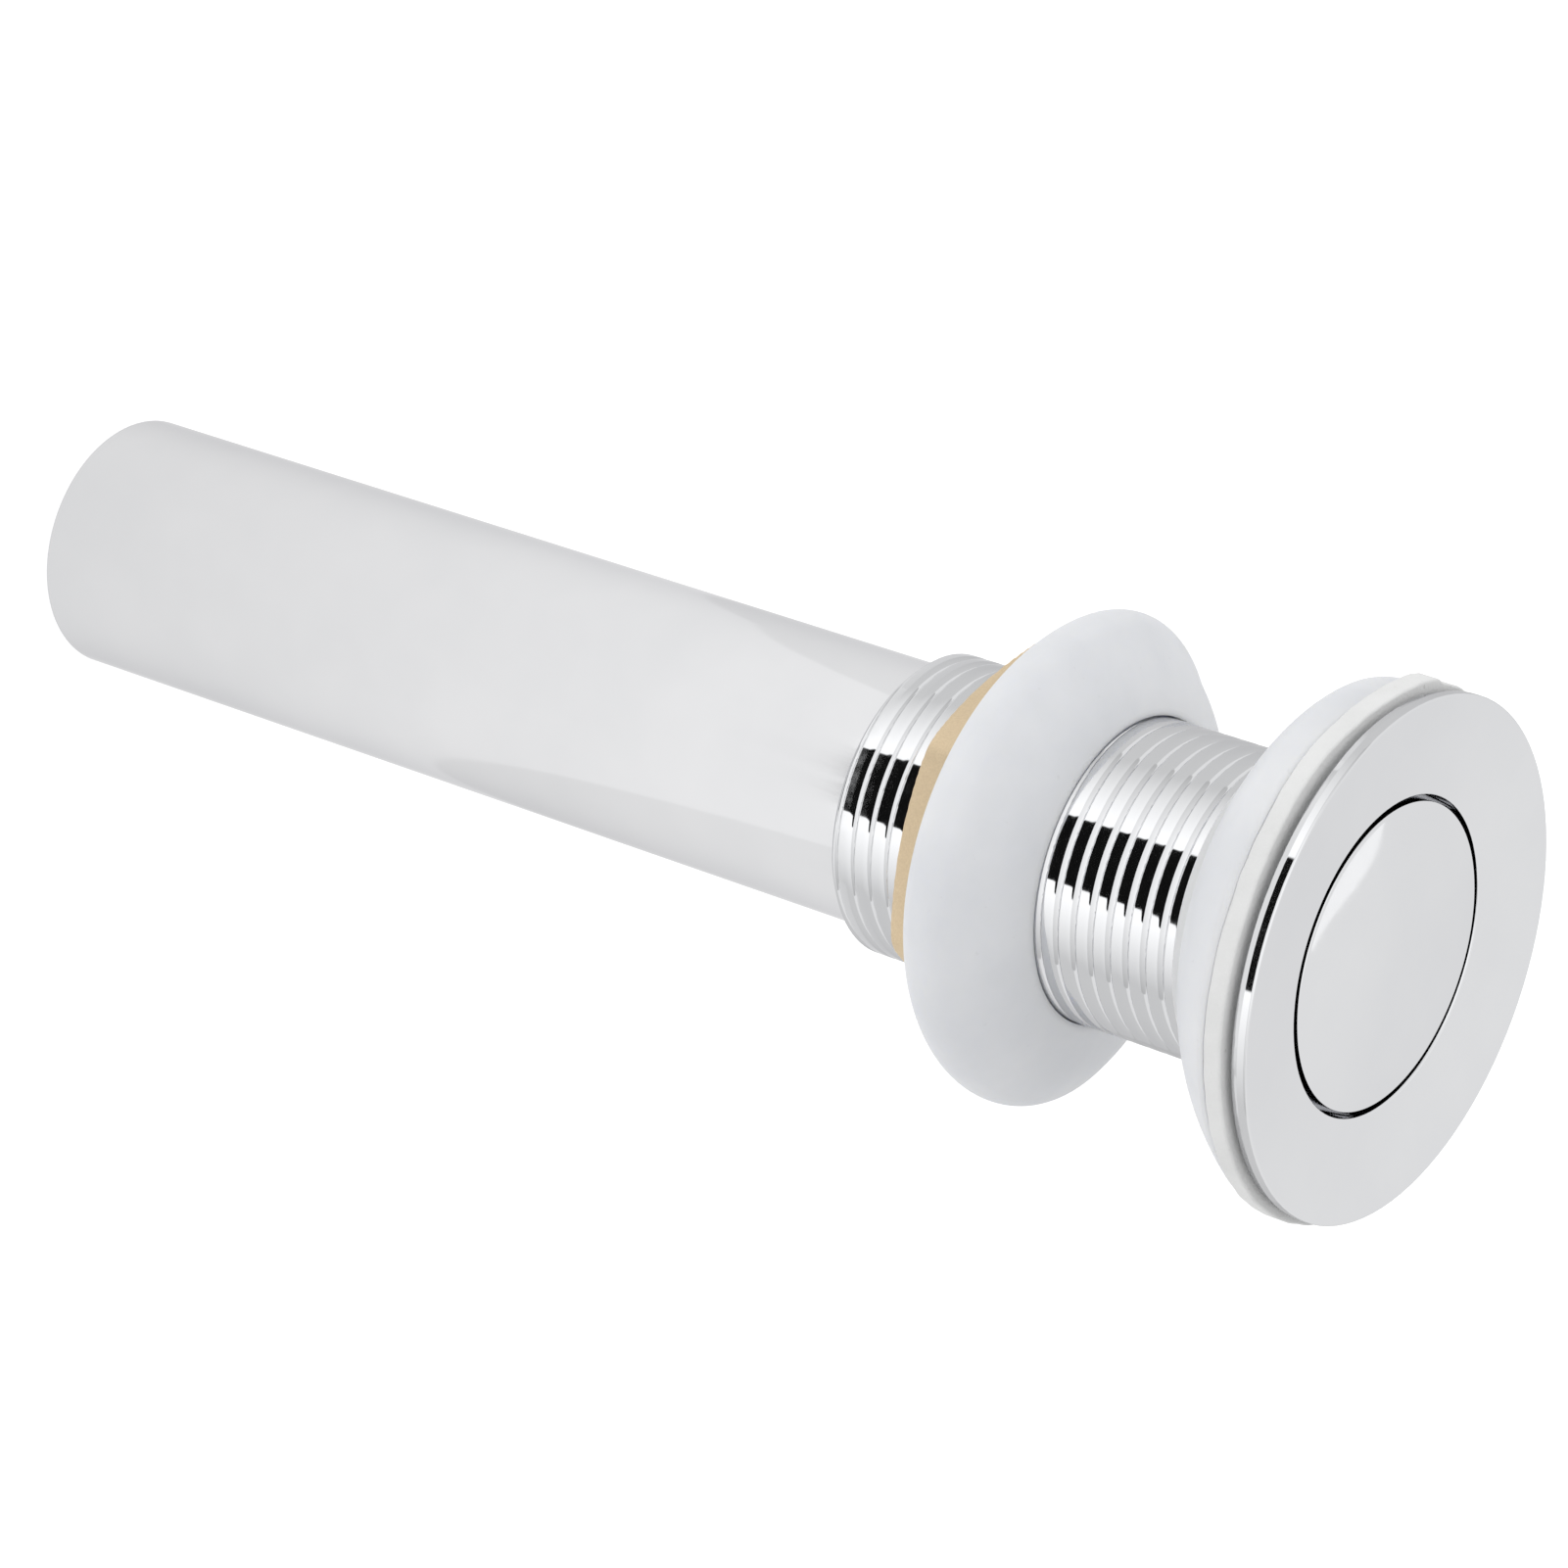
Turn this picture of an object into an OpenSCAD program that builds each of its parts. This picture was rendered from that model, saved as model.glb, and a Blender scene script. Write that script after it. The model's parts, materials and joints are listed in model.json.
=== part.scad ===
// Pop up basin waste: a flanged drain body with a long tailpiece, a push plug on a click cartridge,
// and the gaskets, backing washer and lock nut that clamp it in a basin.
// Millimetres, +Z up. The axis is Z and the origin is on the plane where the flange seats its gaskets.
// The plug is drawn closed, flush with the flange.

/* [Flange] */
// Outer diameter of the flange
flange_d = 61.2; // [58:0.2:66]
// Thickness of the flange's rim
flange_edge_t = 1.7; // [1.2:0.1:2.4]
// Fall of the flange's face from its rim to the plug hole
flange_dish = 1.7; // [0.8:0.1:2]
// Height of the rim's underside above the gasket seat
seat_step = 0.9; // [0.5:0.1:1.5]
// Width of the rim outside the gasket seat
rim_w = 2.4; // [1.5:0.1:3.5]

/* [Shank] */
// Wall of the shank from the tailpiece's diameter to the thread's
shank_wall = 2.275; // [1.9:0.025:3]
// Length of the shank below the gasket seat
shank_l = 62.9; // [58:0.1:80]
// Wall around the cup that the plug drops into
neck_wall = 2.2; // [1.5:0.1:3]

/* [Tailpiece] */
// Outer diameter of the tailpiece
tail_d = 31.75; // [30.5:0.05:32.5]
// Wall of the tailpiece
tail_wall = 0.95; // [0.8:0.05:1.3]
// Length of the tailpiece below the shank
tail_l = 125.4; // [80:0.2:200]
// Thickness of the seal above the tailpiece
tail_seal_t = 1.2; // [0.8:0.1:2]

/* [Plug] */
// Diameter of the plug's head
plug_d = 36; // [35:0.2:38]
// Clearance around the plug's head
plug_gap = 0.55; // [0.3:0.05:0.8]
// Height of the head's edge
plug_edge_t = 3.2; // [2.6:0.1:4.5]
// Rise of the head's crown above its edge
plug_dome = 0.8; // [0.3:0.1:1.5]
// Length of the skirt below the head
skirt_l = 7; // [6:0.1:9]
// Thickness of the seal ring on the skirt
plug_seal_d = 2.6; // [2:0.1:3]
// Lift of the plug from closed to open
open_lift = 9.5; // [6:0.5:11]
// Travel of the plug below closed, which trips the click
press_travel = 2.5; // [1.5:0.1:3]

/* [Gaskets] */
// Overhang of the foam gasket past the flange's rim
foam_over = 0.9; // [0:0.1:2]
// Thickness of the foam gasket
foam_t = 2.2; // [1.5:0.1:4]
// Overhang of the tapered gasket past the flange's rim
gasket_over = 0.3; // [-2:0.1:1.5]
// Height of the tapered gasket
gasket_l = 12.7; // [10:0.1:16]

/* [Backing washer and nut] */
// Space between the tapered gasket and the backing washer
clamp_gap = 19.1; // [6:0.1:21]
// Outer diameter of the backing washer
washer_d = 58.4; // [54:0.2:64]
// Height of the backing washer
washer_h = 11.6; // [9.5:0.1:14]
// Rounding of the backing washer's rim
washer_round = 3.3; // [2:0.1:4]
// Clearance between the backing washer and the thread
washer_gap = 0.9; // [0.4:0.1:0.95]
// Wall of the lock nut from the thread to its flats
nut_wall = 2.85; // [2:0.05:5]
// Thickness of the lock nut
nut_t = 5.7; // [4:0.1:8]
// Angle of the lock nut's first corner from +X
nut_angle = 17; // [0:1:60]

/* [Click cartridge] */
// Outer diameter of the cartridge barrel
barrel_d = 15; // [14.6:0.1:16]
// Wall of the barrel at its slots
barrel_wall = 1.75; // [1.4:0.05:2]
// Depth of the slots in the barrel's ribs
slot_depth = 1.2; // [0.9:0.05:1.5]
// Width of the slots
slot_w = 3.4; // [2.8:0.1:3.8]
// Thickness of the gland that closes the barrel's top
gland_t = 3; // [2.6:0.1:4]
// Height of the push crown
crown_h = 3.5; // [3:0.1:5]
// Height of the index rotor
rotor_h = 5.1; // [4.5:0.1:7]
// Depth of the click teeth
tooth_depth = 1.2; // [0.8:0.1:1.5]
// Length of the return spring with the plug closed
spring_l = 8.5; // [8:0.1:12]
// Wire diameter of the return spring
wire_d = 0.8; // [0.6:0.05:0.9]
// Diameter of the stem
stem_d = 5.8; // [5.4:0.1:6]
// Thread diameter of the cartridge's foot
foot_d = 9.9; // [9:0.1:10.4]

/* [Bridge] */
// Height of the bridge's outer ring
bridge_ring_h = 3.2; // [2.5:0.1:5]
// Width of the bridge's outer ring
bridge_ring_w = 1.7; // [1.4:0.1:2.2]
// Height of the bridge's hub
hub_h = 6.7; // [5:0.1:9]
// Thickness of the bridge's arms
arm_w = 3; // [2:0.1:4]

/* [Hidden] */
$fn = 96;

// Clearances: running fits, fixed fits, soft pieces on metal, and stops
running_fit = 0.06;
fixed_fit = 0.03;
soft_gap = 0.25;
stop_gap = 0.5;
thread_fit = 0.08;

// Rounding of edges
rim_round = 0.4;
hole_round = 0.45;
plug_round = 0.3;
edge_break = 0.3;
thread_chamfer = 0.6;

// Reach of a cut past the face that it opens, and of an arm into what it joins
cut_past = 1;
arm_root = 0.5;

// Steps and walls inside the body and the plug
spigot_step = 0.27;
throat_step = 1;
cup_floor = 1.2;
skirt_gap = 0.75;
skirt_wall = 1.2;
seal_ledge = 0.6;
plate_t = 2.1;
boss_wall = 2.6;
boss_l = 3.8;

// Flange, cup and shank
rim_r = flange_d / 2;
rim_z = seat_step + flange_edge_t;
face_z = rim_z - flange_dish;
seat_r = rim_r - rim_w;
plug_r = plug_d / 2;
hole_r = plug_r + plug_gap;
neck_r = hole_r + neck_wall;
tail_r = tail_d / 2;
thread_r = tail_r + shank_wall;
shank_z = -shank_l;
bore_r = tail_r - tail_wall;
spigot_r = tail_r - spigot_step;
socket_r = spigot_r + fixed_fit;
throat_r = bore_r + throat_step;

// Plug
plug_z = face_z - plug_edge_t;
cup_z = plug_z - press_travel - stop_gap;
neck_z = cup_z - cup_floor;
cone_z = neck_z - abs(neck_r - thread_r);
seal_r = throat_r - running_fit;
groove_r = seal_r - plug_seal_d - fixed_fit;
skirt_r = throat_r - skirt_gap;
skirt_in_r = groove_r - skirt_wall;
skirt_z = plug_z - skirt_l;
seal_z = skirt_z + seal_ledge + plug_seal_d / 2;
throat_z = seal_z - press_travel - plug_seal_d / 2 - edge_break;
plate_z = face_z - plate_t;
stem_r = stem_d / 2;
boss_r = stem_r + boss_wall;
boss_z = plate_z - boss_l;
stem_top_z = plate_z - edge_break;

// Click cartridge, from its top down
barrel_r = barrel_d / 2;
chamber_r = barrel_r - barrel_wall;
rib_r = chamber_r - slot_depth;
slots = 4;
teeth = 2 * slots;
barrel_top_z = boss_z - press_travel - stop_gap;
chamber_top_z = barrel_top_z - gland_t;
crown_top_z = chamber_top_z - stop_gap - open_lift;
crown_z = crown_top_z - crown_h;
tooth_mesh = tooth_depth / 2;
rotor_top_z = crown_z + tooth_mesh;
rotor_z = rotor_top_z - rotor_h;
fin_drop = 0.2;
fin_top_z = rotor_top_z - tooth_depth - fin_drop;
rib_z = fin_top_z;
rib_end_z = rib_z + fin_drop;
chamber_z = rotor_z - spring_l;
plug_foot_t = 2.5;
barrel_z = chamber_z - plug_foot_t;
collar_t = 2.5;
hub_top_z = barrel_z - collar_t;
hub_z = hub_top_z - hub_h;
hub_step = 0.1;
hub_r = barrel_r + hub_step;
guide_r = rib_r - running_fit;
key_r = chamber_r - running_fit;
key_w = slot_w - 2 * running_fit;
tooth_w = 2.6;
pilot_step = 0.5;
pilot_r = stem_r - pilot_step;
stem_rise = 1;
stem_z = rotor_z + stem_rise;
foot_r = foot_d / 2;

// Return spring
coil_gap = 1.6;
coil_r = chamber_r - wire_d / 2 - coil_gap;
coil_turns = 6;
closed_turns = 0.75;

// Bridge and tailpiece
shoulder_z = hub_z + bridge_ring_h;
bridge_r = socket_r - fixed_fit;
bridge_in_r = bridge_r - bridge_ring_w;
bridge_arms = 3;
tail_top_z = hub_z - tail_seal_t;
tail_z = shank_z - tail_l;

// Gaskets, backing washer and nut
foam_r = rim_r + foam_over;
gasket_r = rim_r + gasket_over;
gasket_top_z = -foam_t;
gasket_z = gasket_top_z - gasket_l;
gasket_bow = 1.05;
gasket_lip = 0.5;
washer_top_z = gasket_z - clamp_gap;
washer_z = washer_top_z - washer_h;
washer_r = washer_d / 2;
washer_hole_r = thread_r + washer_gap;
washer_lip = 0.5;
washer_bow = 0.5;
nut_chamfer = 20;
nut_af = 2 * (thread_r + nut_wall);
nut_top_z = washer_z - thread_fit;
nut_z = nut_top_z - nut_t;

chrome = [0.86, 0.87, 0.89];
brass = [0.86, 0.74, 0.54];
steel = [0.66, 0.67, 0.68];
silicone = [0.9, 0.91, 0.93];
foam = [0.95, 0.95, 0.94];
rubber = [0.13, 0.13, 0.14];
plastic = [0.93, 0.92, 0.88];

// Points on an arc of radius r about c, between two angles
function arc(c, r, from, to, n = 6) =
    [for (i = [0 : n]) c + r * [cos(from + (to - from) * i / n), sin(from + (to - from) * i / n)]];

// Points between p and q on an arc that rises by the given amount to the left of the line
function bow(p, q, rise, n = 8) =
    let (d = q - p, left = [-d.y, d.x] / norm(d))
    [for (i = [1 : n - 1]) let (t = i / n) p + d * t + left * rise * 4 * t * (1 - t)];

module turned(points) {
    rotate_extrude() polygon(points);
}

module ring(outer, inner, low, high) {
    turned([[inner, low], [outer, low], [outer, high], [inner, high]]);
}

// Flats of parallel bars that cross at the axis, one for each pair of slots
module cross_bars(width, reach, low, high) {
    intersection() {
        translate([0, 0, low]) cylinder(r = reach, h = high - low);
        for (i = [0 : slots / 2 - 1])
            rotate(i * 360 / slots)
                translate([-reach - cut_past, -width / 2, low])
                    cube([2 * (reach + cut_past), width, high - low]);
    }
}

// A flat outline in (along, up) carried out from the axis at the given angle
module spoke(angle, reach, points) {
    rotate([90, 0, 90 + angle]) linear_extrude(reach) polygon(points);
}

// V notches around a crown, with their points at the level tip and widest past the level mouth
module tooth_notches(tip, mouth, reach, phase) {
    past = tip + 2 * (mouth - tip);
    for (i = [0 : teeth - 1])
        spoke(phase + i * 360 / teeth, reach, [[0, tip], [tooth_w, past], [-tooth_w, past]]);
}

// Flange, cup, throat and threaded shank, turned in one piece
module drain_body() {
    rim_lean = atan2(flange_dish, rim_r - hole_r);
    color(chrome) turned(concat(
        [[hole_r, face_z - hole_round], [hole_r + hole_round, face_z]],
        arc([rim_r - rim_round, rim_z - rim_round], rim_round, 90 + rim_lean, 0),
        [[rim_r, seat_step + edge_break], [rim_r - edge_break, seat_step], [seat_r, seat_step],
            [seat_r - seat_step / 2, 0], [neck_r, 0], [neck_r, neck_z], [thread_r, cone_z],
            [thread_r, shank_z + thread_chamfer], [thread_r - thread_chamfer, shank_z], [socket_r, shank_z],
            [socket_r, shoulder_z], [bore_r, shoulder_z], [bore_r, throat_z - (throat_r - bore_r)],
            [throat_r, throat_z], [throat_r, cup_z - edge_break], [throat_r + edge_break, cup_z],
            [hole_r, cup_z]]));
}

// Drain tube: its spigot screws into the shank until its shoulder meets the shank's end
module tailpiece() {
    color(chrome) turned([[bore_r, tail_z], [tail_r - edge_break, tail_z], [tail_r, tail_z + edge_break],
        [tail_r, shank_z], [spigot_r, shank_z], [spigot_r, tail_top_z], [bore_r, tail_top_z]]);
}

// Flat seal between the bridge and the tailpiece
module tailpiece_seal() {
    color(rubber) ring(spigot_r, bore_r, tail_top_z, hub_z);
}

// Foam ring under the flange
module foam_gasket() {
    color(foam) ring(foam_r, neck_r + soft_gap, gasket_top_z, 0);
}

// Tapered gasket that centres the shank in the basin's hole
module flange_gasket() {
    inner = thread_r + soft_gap;
    big = [gasket_r, gasket_top_z - edge_break];
    small = [inner + gasket_lip, gasket_z];
    color(silicone) turned(concat(
        [[neck_r + soft_gap, gasket_top_z], [gasket_r - edge_break, gasket_top_z], big],
        bow(big, small, gasket_bow),
        [small, [inner, gasket_z], [inner, cone_z], [neck_r + soft_gap, neck_z]]));
}

// Domed washer that bears on the underside of the basin
module backing_washer() {
    rim = [washer_r - washer_round, washer_z + washer_round];
    lip = [washer_hole_r + washer_lip, washer_top_z];
    fall = atan2(lip.y - rim.y, rim.x - lip.x) + asin(washer_round / norm(lip - rim));
    shoulder = rim + washer_round * [cos(90 - fall), sin(90 - fall)];
    color(silicone) turned(concat(
        [[washer_hole_r, washer_z]],
        arc(rim, washer_round, -90, 90 - fall, 10),
        bow(shoulder, lip, -washer_bow),
        [lip, [washer_hole_r, washer_top_z]]));
}

// Hexagon nut with chamfered corners; the chamfer's cones meet outside the corners
module lock_nut() {
    corner_r = nut_af / 2 / cos(30);
    flat_r = nut_af / 2 - edge_break;
    past_r = corner_r + cut_past;
    fall = (past_r - flat_r) * tan(nut_chamfer);
    color(brass) difference() {
        intersection() {
            translate([0, 0, nut_z]) rotate(nut_angle) cylinder(r = corner_r, h = nut_t, $fn = 6);
            turned([[0, nut_z], [flat_r, nut_z], [past_r, nut_z + fall], [past_r, nut_top_z - fall],
                [flat_r, nut_top_z], [0, nut_top_z]]);
        }
        translate([0, 0, nut_z - cut_past]) cylinder(r = thread_r + thread_fit, h = nut_t + 2 * cut_past);
    }
}

// Push plug: a crowned head over a hollow skirt, with a boss for the stem
module plug_cap() {
    crown = [0, face_z + plug_dome];
    edge = [plug_r - plug_round, face_z];
    groove_h = plug_seal_d / 2 + fixed_fit;
    color(chrome) turned(concat(
        [[0, stem_top_z], [stem_r + fixed_fit, stem_top_z], [stem_r + fixed_fit, boss_z], [boss_r, boss_z],
            [boss_r, plate_z], [skirt_in_r, plate_z], [skirt_in_r, skirt_z], [skirt_r, skirt_z],
            [skirt_r, seal_z - groove_h], [groove_r, seal_z - groove_h], [groove_r, seal_z + groove_h],
            [skirt_r, seal_z + groove_h], [skirt_r, plug_z], [plug_r - edge_break, plug_z],
            [plug_r, plug_z + edge_break]],
        arc([plug_r - plug_round, face_z - plug_round], plug_round, 0, 90),
        bow(edge, crown, -plug_dome / 4),
        [crown]));
}

// Ring that closes the throat around the skirt
module plug_seal() {
    color(rubber) rotate_extrude()
        translate([seal_r - plug_seal_d / 2, seal_z]) circle(d = plug_seal_d, $fn = 48);
}

// Stem: screwed into the plug's boss, and stepped down for the push crown and the rotor
module plug_stem() {
    color(steel) turned([[0, stem_top_z], [stem_r, stem_top_z], [stem_r, crown_top_z], [pilot_r, crown_top_z],
        [pilot_r, stem_z], [0, stem_z]]);
}

// Push crown: keyed in the barrel's slots, with teeth that turn the rotor
module push_crown() {
    color(plastic) difference() {
        union() {
            translate([0, 0, crown_z]) cylinder(r = guide_r, h = crown_h);
            cross_bars(key_w, key_r, crown_z + tooth_depth, crown_top_z);
        }
        translate([0, 0, crown_z - cut_past]) cylinder(r = pilot_r + fixed_fit, h = crown_h + 2 * cut_past);
        tooth_notches(crown_z + tooth_depth, crown_z, key_r + cut_past, 0);
    }
}

// Index rotor: fins that run in the barrel's slots, under sloped tops that the crown pushes round
module index_rotor() {
    color(plastic) difference() {
        union() {
            difference() {
                translate([0, 0, rotor_z]) cylinder(r = guide_r, h = rotor_h);
                tooth_notches(rotor_top_z - tooth_depth, rotor_top_z, guide_r + cut_past, 180 / teeth);
            }
            difference() {
                cross_bars(key_w, key_r, rotor_z, fin_top_z);
                for (i = [0 : slots - 1])
                    spoke(i * 360 / slots, key_r + cut_past, [[-slot_w / 2, fin_top_z],
                        [slot_w / 2, fin_top_z - tooth_depth], [slot_w / 2, fin_top_z + cut_past],
                        [-slot_w / 2, fin_top_z + cut_past]]);
            }
        }
        translate([0, 0, rotor_z - cut_past]) cylinder(r = pilot_r + running_fit, h = rotor_h + 2 * cut_past);
    }
}

// Coil spring between the base and the rotor, with closed end turns
module return_spring() {
    sides = 8;
    steps = 24;
    count = coil_turns * steps;
    low = chamber_z + wire_d / 2 + fixed_fit;
    rise = spring_l - wire_d - 2 * fixed_fit;
    open_turns = coil_turns - 2 * closed_turns;
    end_rise = wire_d * closed_turns;
    function height(turn) =
        turn < closed_turns ? wire_d * turn
        : turn > coil_turns - closed_turns ? rise - wire_d * (coil_turns - turn)
        : end_rise + (rise - 2 * end_rise) * (turn - closed_turns) / open_turns;
    function wire_point(i, j) =
        let (a = 360 * i / steps, b = 360 * j / sides, r = coil_r + wire_d / 2 * cos(b))
        [r * cos(a), r * sin(a), low + height(i / steps) + wire_d / 2 * sin(b)];
    points = [for (i = [0 : count]) for (j = [0 : sides - 1]) wire_point(i, j)];
    walls = [for (i = [0 : count - 1]) for (j = [0 : sides - 1])
        let (a = i * sides + j, b = i * sides + (j + 1) % sides)
        [a, a + sides, b + sides, b]];
    ends = [[for (j = [0 : sides - 1]) j], [for (j = [sides - 1 : -1 : 0]) count * sides + j]];
    color(steel) polyhedron(points, concat(walls, ends));
}

// Barrel: slots between its ribs guide the crown and the rotor, and sloped rib ends hold the rotor down
module cartridge_barrel() {
    rib_w = rib_r * PI / slots;
    color(brass) difference() {
        translate([0, 0, barrel_z]) cylinder(r = barrel_r, h = barrel_top_z - barrel_z);
        translate([0, 0, barrel_z - cut_past]) cylinder(r = chamber_r, h = rib_z - barrel_z + cut_past);
        translate([0, 0, chamber_top_z]) cylinder(r = chamber_r, h = gland_t + cut_past);
        translate([0, 0, rib_z - cut_past]) cylinder(r = rib_r, h = chamber_top_z - rib_z + 2 * cut_past);
        cross_bars(slot_w, chamber_r, rib_z - cut_past, chamber_top_z + cut_past);
        intersection() {
            translate([0, 0, rib_z - cut_past]) cylinder(r = chamber_r, h = tooth_depth + 2 * cut_past);
            for (i = [0 : slots - 1])
                spoke((i + 0.5) * 360 / slots, chamber_r + cut_past,
                    [[-rib_w, rib_z - cut_past], [rib_w, rib_z - cut_past], [rib_w, rib_end_z + tooth_depth],
                        [0, rib_end_z], [0, rib_end_z + tooth_depth], [-rib_w, rib_end_z]]);
        }
    }
}

// Gland that closes the barrel's top and guides the stem, with a groove for the stem's seal
module cartridge_gland() {
    groove_h = 0.8;
    groove = stem_r + 1.1;
    middle = (barrel_top_z + chamber_top_z) / 2;
    bore = stem_r + running_fit;
    color(brass) turned([[bore, chamber_top_z], [chamber_r - fixed_fit, chamber_top_z],
        [chamber_r - fixed_fit, barrel_top_z], [bore, barrel_top_z], [bore, middle + groove_h],
        [groove, middle + groove_h], [groove, middle - groove_h], [bore, middle - groove_h]]);
}

// Ring that keeps dirt out of the barrel
module stem_seal() {
    ring_d = 1;
    middle = (barrel_top_z + chamber_top_z) / 2;
    color(rubber) rotate_extrude()
        translate([stem_r + running_fit + ring_d / 2, middle]) circle(d = ring_d, $fn = 32);
}

// Base that closes the barrel, with a hexagon for a spanner and a threaded foot
module cartridge_base() {
    color(brass) {
        translate([0, 0, barrel_z]) cylinder(r = chamber_r - fixed_fit, h = plug_foot_t);
        translate([0, 0, hub_top_z]) cylinder(r = barrel_r, h = collar_t, $fn = 6);
        translate([0, 0, hub_z]) cylinder(r = foot_r, h = hub_h);
        translate([0, 0, chamber_z]) cylinder(r = coil_r - wire_d / 2 - soft_gap, h = spring_l / 4);
    }
}

// Bridge across the waterway: a ring on the shank's shoulder, three arms and the cartridge's hub
module bridge() {
    root = hub_r - arm_root;
    end = bridge_in_r + arm_root;
    arm = [[root, hub_z], [end, hub_z], [end, shoulder_z - edge_break], [root, hub_top_z - edge_break]];
    color(brass) difference() {
        union() {
            ring(bridge_r, bridge_in_r, hub_z, shoulder_z);
            translate([0, 0, hub_z]) cylinder(r = hub_r, h = hub_h);
            for (i = [0 : bridge_arms - 1])
                rotate(90 + i * 360 / bridge_arms)
                    rotate([90, 0, 0]) linear_extrude(arm_w, center = true) polygon(arm);
        }
        translate([0, 0, hub_z - cut_past]) cylinder(r = foot_r + fixed_fit, h = hub_h + 2 * cut_past);
    }
}

drain_body();
tailpiece();
tailpiece_seal();
foam_gasket();
flange_gasket();
backing_washer();
lock_nut();
plug_cap();
plug_seal();
plug_stem();
push_crown();
index_rotor();
return_spring();
cartridge_barrel();
cartridge_gland();
stem_seal();
cartridge_base();
bridge();
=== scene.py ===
"""Looks of a pop up basin waste: chromed body, tube and plug, soft rings, a brass nut and a click cartridge."""
import json

import bmesh
import bpy
import numpy as np
from mathutils import Matrix, Vector

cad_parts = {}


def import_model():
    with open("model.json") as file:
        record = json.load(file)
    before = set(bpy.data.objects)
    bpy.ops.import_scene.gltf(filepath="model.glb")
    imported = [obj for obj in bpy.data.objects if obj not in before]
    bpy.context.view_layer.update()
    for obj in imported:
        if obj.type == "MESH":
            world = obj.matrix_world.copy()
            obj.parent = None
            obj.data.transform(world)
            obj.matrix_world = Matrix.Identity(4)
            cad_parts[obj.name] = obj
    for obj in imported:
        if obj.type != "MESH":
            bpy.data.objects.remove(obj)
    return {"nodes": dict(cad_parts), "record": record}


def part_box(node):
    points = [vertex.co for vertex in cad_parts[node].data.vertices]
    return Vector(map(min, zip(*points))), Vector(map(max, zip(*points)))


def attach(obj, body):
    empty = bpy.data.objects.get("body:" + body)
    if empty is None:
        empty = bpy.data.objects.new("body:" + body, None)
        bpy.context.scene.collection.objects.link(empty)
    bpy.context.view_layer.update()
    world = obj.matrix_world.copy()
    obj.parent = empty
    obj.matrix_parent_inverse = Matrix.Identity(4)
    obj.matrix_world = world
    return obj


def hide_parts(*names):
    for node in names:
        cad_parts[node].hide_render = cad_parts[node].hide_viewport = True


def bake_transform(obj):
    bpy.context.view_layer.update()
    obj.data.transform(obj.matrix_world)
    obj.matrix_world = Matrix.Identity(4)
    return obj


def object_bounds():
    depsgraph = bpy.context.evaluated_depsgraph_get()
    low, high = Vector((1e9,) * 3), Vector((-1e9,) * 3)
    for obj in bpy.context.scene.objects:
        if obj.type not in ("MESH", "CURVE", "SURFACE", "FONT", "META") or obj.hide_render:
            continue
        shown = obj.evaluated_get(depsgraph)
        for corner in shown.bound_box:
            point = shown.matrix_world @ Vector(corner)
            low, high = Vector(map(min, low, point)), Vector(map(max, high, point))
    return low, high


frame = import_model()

CAD_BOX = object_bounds()
MM = 0.001
TURN = 2 * np.pi

# Sizes read from the frame, in millimetres from the gasket seat
SPAN = {name: np.array(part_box(name)) / MM for name in frame["nodes"]}


def reach(node):
    """Outer radius of a round node."""
    return SPAN[node][1][1]


def low(node):
    """Height of a node's lower end."""
    return SPAN[node][0][2]


def high(node):
    """Height of a node's upper end."""
    return SPAN[node][1][2]


# Sizes shared by several pieces, with the fits between them
MOUNT = {m["name"]: m for m in frame["record"]["mounts"]}
SCREW = frame["record"]["behaviour"]["couplings"][0]
THREAD_R = MOUNT["basin_seat"]["dims"]["r_mm"]
TUBE_R = MOUNT["trap_tailpiece"]["dims"]["r_mm"]
TUBE_WALL = 0.95
PITCH = SCREW["ratio"] * TURN / MM
FIXED_FIT = 0.03
SEAL_FIT = 0.06
WASHER_FIT = 0.12
SOFT_GAP = 0.25
FOAM_DROP = 0.7
PLUG_DOME = 0.8
PLUG_EDGE = 3.2
PLUG_GAP = 0.55
PLUG_TRIM = 0.08
HOLE_TRIM = 0.07
PRESS_ROOM = 3.0
SEAL_ROOM = 2.8
CUP_WALL = 2.2
CUP_FLOOR = 1.2
BRIDGE_RING = 3.2
SEAT_STEP = 0.9
RIM_W = 2.4
RIM_SINK = 0.3
RIM_BEVEL = 0.85
FACE_Z = high("plug_cap") - PLUG_DOME
HOLE_R = reach("plug_cap") + PLUG_GAP
NECK_R = HOLE_R + CUP_WALL
CUP_Z = FACE_Z - PLUG_EDGE - PRESS_ROOM
NECK_Z = CUP_Z - CUP_FLOOR
CONE_Z = NECK_Z - (NECK_R - THREAD_R)
THROAT_Z = low("plug_seal") - SEAL_ROOM
NUT_AF = 40.6
NUT_DROP = 0.55
NUT_FIT = 0.08
NUT_CORNER_R = NUT_AF / 2 / np.cos(np.pi / 6)

# Thread: groove width, slopes of its flanks, rounding at both edges of a crest, how far the crest drops there,
# and where the helix starts
THREAD_GROOVE = 0.30
SLANT_FLANK = 1.2
STEEP_FLANK = 3.0
LOWER_ROUND = 0.1
CREST_ROUND = 1.15
CREST_DROP = 0.23
THREAD_START = -2.28

# Light levels, where 1 is white
WORLD_SOFT = 0.72
FLOOR_GLOW = 0.46
FLOOR_SEEN = 0.09
# Floor levels that only mirrors see: a painted reflection, with painted shade near the tube's end, far off and
# past three edges
FLOOR_NEAR = 0.89
FLOOR_OUT = 1.03
FLOOR_FAR = 0.86
FLOOR_SHADE = 0.09
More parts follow.
